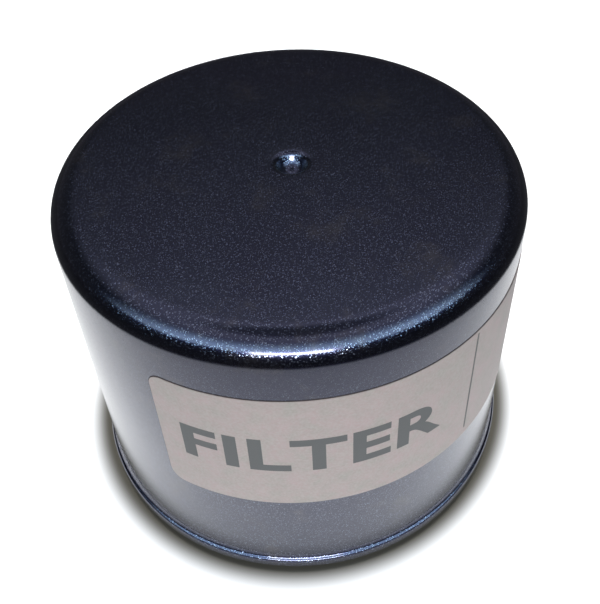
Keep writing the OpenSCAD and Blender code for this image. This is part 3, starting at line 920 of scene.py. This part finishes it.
def pleated_paper(name, rows=14):
    """Corner pairs at radius r and half width w about each pleat's middle, outside and
    inside in turn, rounded and set off to both sides. Between the caps a flank bulges
    by a sine of the height whose phase differs from pleat to pleat."""
    k = np.arange(pleats)
    corners = []
    for share, r, w in ((0.0, paper_out - paper_t / 2, fold_out),
                        (0.5, paper_in + paper_t / 2, fold_in)):
        middle = 2 * np.pi * (k + share) / pleats
        for side in (-w, w):
            angle = middle + side / r
            corners.append(np.column_stack([r * np.cos(angle), r * np.sin(angle)]))
    path = rounded(np.stack(corners, 1).reshape(-1, 2), 0.6, steps=4)
    along = np.roll(path, -1, axis=0) - np.roll(path, 1, axis=0)
    along /= np.linalg.norm(along, axis=1, keepdims=True)
    side = np.column_stack([along[:, 1], -along[:, 0]]) * paper_t / 2
    z = np.linspace(paper_low, paper_high, rows)
    up = (z - paper_low) / (paper_high - paper_low)
    loops = []
    for line in (path + side, path - side):
        r = np.hypot(line[:, 0], line[:, 1])
        t = np.arctan2(line[:, 1], line[:, 0])
        free = np.clip((r - paper_in) * (paper_out - r) / flank_mm2, 0, 1)
        phase = np.round(t / (2 * np.pi) * pleats) * lean_step
        shift = lean * np.sin(np.pi * up)[:, None] * np.sin(phase + 2 * up[:, None]) * free
        turn = t + shift / r
        loops.append(np.stack([r * np.cos(turn), r * np.sin(turn),
                               z[:, None] + 0 * turn], -1))
    count = loops[0].shape[1]
    points = np.concatenate([loops[0], loops[1][::-1]]).reshape(-1, 3)
    return new_mesh(name, points, grid_faces(2 * rows, count, True, True), sharp=50)


paper = pleated_paper("pleated_paper")
settle(paper, filter_paper, "pleated_media")
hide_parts("pleated_media")

# %% [markdown]
# ## The springs
#
# Both springs are wound from round wire. A circle carried along a helix makes the
# wire, and the height is a formula of the turn: nearly flat at both ends, where the
# coils close, and steep between.


# %% A coil of wire
def coil(name, radii, heights, turns, wire, sides=14):
    """Wire along a helix: ring i has its centre at (R_i cos a_i, R_i sin a_i, h_i), and
    its point k lies half a wire away at the angle b_k in the plane of radius and
    height. A face closes each end."""
    a = 2 * np.pi * turns * np.linspace(0, 1, len(radii))[:, None]
    b = np.linspace(0, 2 * np.pi, sides, endpoint=False)[None, :]
    r = radii[:, None] + wire / 2 * np.cos(b)
    z = heights[:, None] + wire / 2 * np.sin(b)
    points = np.stack([r * np.cos(a), r * np.sin(a), z], -1).reshape(-1, 3)
    faces = grid_faces(len(radii), sides, False, True)
    faces.append(list(range(sides))[::-1])
    faces.append((np.arange(sides) + (len(radii) - 1) * sides).tolist())
    return new_mesh(name, points, faces)


# %% Support spring
spring_low, spring_high = reach("support_spring", Z)
wire, turns, flat, turn_steps = 1.6, 3, 0.22, 60
wide_r, narrow_r = 12.25, 5.2
u = np.linspace(0, 1, turn_steps * turns + 1)
rise = np.clip((u - flat) / (1 - 2 * flat), 0, 1)
rise = rise ** 2 * (3 - 2 * rise)
low, high = spring_low + wire / 2, spring_high - wire / 2
spring = coil("support_spring_wire", wide_r + (narrow_r - wide_r) * u,
              low + (high - low) * rise, turns, wire)
settle(spring, spring_steel, "support_spring")
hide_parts("support_spring")

# %% Bypass spring
by_low, by_high = reach("bypass_spring", Z)
by_wire, by_turns, by_r, by_steps = 0.8, 5.5, 5.08, 48
u = np.linspace(0, 1, int(by_steps * by_turns) + 1) * by_turns
closed_pitch = 1.04 * by_wire
low, high = by_low + by_wire / 2, by_high - by_wire / 2
open_pitch = (high - low - 2 * closed_pitch) / (by_turns - 2)
heights = (low + closed_pitch * np.minimum(u, 1) + open_pitch * np.clip(u - 1, 0, by_turns - 2)
           + closed_pitch * np.clip(u - by_turns + 1, 0, 1))
by_spring = coil("bypass_spring_wire", np.full(len(u), by_r), heights, by_turns, by_wire)
settle(by_spring, spring_steel, "bypass_spring")
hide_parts("bypass_spring")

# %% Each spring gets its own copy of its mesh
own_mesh(spring)
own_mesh(by_spring)

# %% [markdown]
# ## Inner CAD nodes that stay
#
# The end caps, the tube, the bonds and the bypass valve's own parts have the right
# shape already. Each gets its real finish in its material slot.

# %% Finishes on the CAD nodes that are kept
KEPT = {
    "seam_compound": (compound, ["seam_sealant"]),
    "cap_steel": (zinc_plate, ["lower_end_cap", "upper_end_cap", "centre_tube", "media_clip"]),
    "plastisol": (plastisol, ["lower_bond", "upper_bond"]),
    "cage_steel": (oiled_steel, ["bypass_cage", "bypass_disc", "bypass_stem"]),
    "gasket_rubber": (nitrile, ["bypass_seal"]),
}
for slot, (material, nodes) in KEPT.items():
    for node in nodes:
        thing = frame["nodes"][node]
        thing.data.materials.clear()
        thing.data.materials.append(material)
print("kept CAD nodes:", sum(len(nodes) for _, nodes in KEPT.values()))

# %% [markdown]
# ## Floor, light and camera
#
# The filter stands on a plain white table in a dim room. A glossy can shows its
# surroundings more than its own colour: the wall mirrors the bright table next to it,
# the rim mirrors a softbox low in front as one thin line, the black band under that
# line is the table's far part, and the dome mirrors the ceiling. So the table darkens
# away from the filter for mirrored rays, and the overhead lamp doesn't show in them.

# %% White table, whose far part is dark in mirrors
floor_half = 5000.0
bright_to, dark_from = 80, 104
# Where the painted shadow ring round the foot is darkest, where it has faded out, and how far
# back its middle lies
shade_from, shade_to, shade_back = 40.0, 44.8, 2.0
near_dark, far_dark = 0.32, 0.52
floor = new_mesh("floor", np.array([[-1, -1, 0], [1, -1, 0], [1, 1, 0], [-1, 1, 0]])
                 * floor_half, [(0, 1, 2, 3)])
floor_paint, tree, shader, place = start("matt_white_table")
mottle = add(tree, "TexNoise", {"Vector": place, "Scale": grain(30), "Detail": 3.0})
tone = add(tree, "Mix", {FACTOR: mottle, FIRST: "#f3f2f0", SECOND: "#f7f7f6"}, **COLOURS)
away = add(tree, "VectorMath", {0: place}, operation="LENGTH").outputs["Value"]
# A ring of painted shade close round the foot, a little further out behind: a contact shadow
# painted into the table's colour
shifted = add(tree, "VectorMath", {0: place, 1: (0, shade_back * MM, 0)}, operation="DISTANCE")
open_table = add(tree, "MapRange", {"Value": shifted.outputs["Value"],
                                    "From Min": shade_from * MM, "From Max": shade_to * MM},
                 **SMOOTH)
tone_with_painted_shade = add(tree, "Mix", {FACTOR: open_table, FIRST: "#57544c", SECOND: tone}, **COLOURS)
near = add(tree, "MapRange", {"Value": away, "From Min": shade_to * MM,
                              "From Max": bright_to * MM, "To Min": near_dark,
                              "To Max": far_dark})
far = add(tree, "MapRange", {"Value": away, "From Min": bright_to * MM,
                             "From Max": dark_from * MM, "To Min": near}, **SMOOTH)
mirrored = add(tree, "LightPath").outputs["Is Glossy Ray"]
darken = add(tree, "Math", {0: far, 1: mirrored}, **TIMES)
shown = add(tree, "Mix", {FACTOR: darken, FIRST: tone_with_painted_shade, SECOND: "#29292b"}, **COLOURS)
fill(shader, {"Base Color": shown, "Roughness": 0.9, "Specular IOR Level": 0.0})
floor.data.materials.append(floor_paint)

# %% Overhead lamp for the table
overhead_data = bpy.data.lights.new("overhead", "SUN")
overhead_data.energy = 3.9
overhead_data.angle = np.radians(22)
overhead = linked("overhead", overhead_data)
overhead.rotation_euler = (np.radians(-3), np.radians(1), 0)
overhead.visible_glossy = False

# %% Softbox, low in front
softbox_far, softbox_wide, softbox_high, softbox_aim = 600, 330, 80, 55
softbox_up, softbox_turn = np.radians(15.5), np.radians(-4)
softbox_data = bpy.data.lights.new("softbox", "AREA")
softbox_data.shape = "RECTANGLE"
softbox_data.size = softbox_wide * MM
softbox_data.size_y = softbox_high * MM
softbox_data.energy = 2.0
softbox = linked("softbox", softbox_data)
toward_lamp = Vector((np.sin(softbox_turn) * np.cos(softbox_up),
                      -np.cos(softbox_turn) * np.cos(softbox_up), np.sin(softbox_up)))
softbox.location = toward_lamp * softbox_far * MM + Vector((0, 0, softbox_aim * MM))
softbox.rotation_euler = toward_lamp.to_track_quat("Z", "Y").to_euler()

# %% Dim room: a soft ceiling, and a glow above the softbox
world = bpy.data.worlds.new("room")
bpy.context.scene.world = world
world.use_nodes = True
tree = world.node_tree
tree.nodes.clear()
toward = add(tree, "SeparateXYZ", {"Vector": add(tree, "TexCoord").outputs["Generated"]})
height, depth = toward.outputs["Z"], toward.outputs["Y"]
# Smooth steps over a direction's height or depth: where each starts and ends, and its
# values there
STEPS = {
    "ceiling": (height, 0.5, 0.95, 0.08, 0.85),
    "overhead": (height, 0.9, 0.99, 1.0, 0.25),
    "in_front": (depth, 0.05, -0.6, 0.0, 1.0),
    "glow_below": (height, 0.22, 0.34, 0.0, 1.0),
    "glow_above": (height, 0.82, 0.42, 0.0, 1.0),
}
step = {}
for name, (over, start_at, end_at, low, high) in STEPS.items():
    step[name] = add(tree, "MapRange", {"Value": over, "From Min": start_at, "From Max": end_at,
                                        "To Min": low, "To Max": high}, **SMOOTH)
ceiling_strength = add(tree, "Math", {0: step["ceiling"], 1: step["overhead"]}, **TIMES)
ceiling_light = add(tree, "Background", {"Color": "#e6e6f6", "Strength": ceiling_strength})
band = add(tree, "Math", {0: step["glow_below"], 1: step["glow_above"]}, **TIMES)
glow_share = add(tree, "Math", {0: step["in_front"], 1: band}, **TIMES)
glow_full, glow_mirrored = 1.6, 3.6
glossy = add(tree, "MapRange", {"Value": add(tree, "LightPath").outputs["Is Glossy Ray"],
                                "To Min": glow_full, "To Max": glow_mirrored})
glow_strength = add(tree, "Math", {0: glow_share, 1: glossy}, **TIMES)
glow = add(tree, "Background", {"Color": "#cdebfb", "Strength": glow_strength})
room = add(tree, "AddShader", {0: ceiling_light, 1: glow})
backdrop = add(tree, "Background", {"Color": "#ffffff", "Strength": 1.0})
seen = add(tree, "LightPath").outputs["Is Camera Ray"]
mixed = add(tree, "MixShader", {0: seen, 1: room, 2: backdrop})
add(tree, "OutputWorld", {"Surface": mixed})

# %% [markdown]
# ### Camera
#
# The view is from above and close by, at 3.5 can radii from the dome, which gives a
# strong taper. The camera's direction is set by four angles, and its frame lies off
# the lens's axis by a small shift.

# %% Camera
lens_mm, shift = 49.2, (-0.0975, -0.1243)
distance_in_radii = 3.491
height_angle, yaw, pitch, roll = np.radians(38.0), -0.0769, 0.0827, np.radians(-3.03)


def turn_pair(a, b, angle):
    """Turns the directions a and b in their own plane: a cos + b sin, b cos - a sin."""
    return a * np.cos(angle) + b * np.sin(angle), b * np.cos(angle) - a * np.sin(angle)


back = np.array([0, -np.cos(height_angle), np.sin(height_angle)])
right = np.array([1.0, 0, 0])
up = np.array([0, np.sin(height_angle), np.cos(height_angle)])
eye = np.array([0, 0, top]) + back * (distance_in_radii * can_r)
back, right = turn_pair(back, right, yaw)
back, up = turn_pair(back, up, pitch)
right, up = turn_pair(right, up, roll)
camera_data = bpy.data.cameras.new("camera")
camera = linked("camera", camera_data)
camera.matrix_world = Matrix([
    [right[i], up[i], back[i], eye[i] * MM] for i in range(3)] + [[0, 0, 0, 1]])
camera_data.sensor_width = 36
camera_data.lens = lens_mm
camera_data.shift_x, camera_data.shift_y = shift
camera_data.clip_start = 0.01
bpy.context.scene.camera = camera
bpy.context.scene.view_settings.view_transform = "Standard"
print("lens", round(camera_data.lens, 1), "mm, eye", np.round(eye, 1))
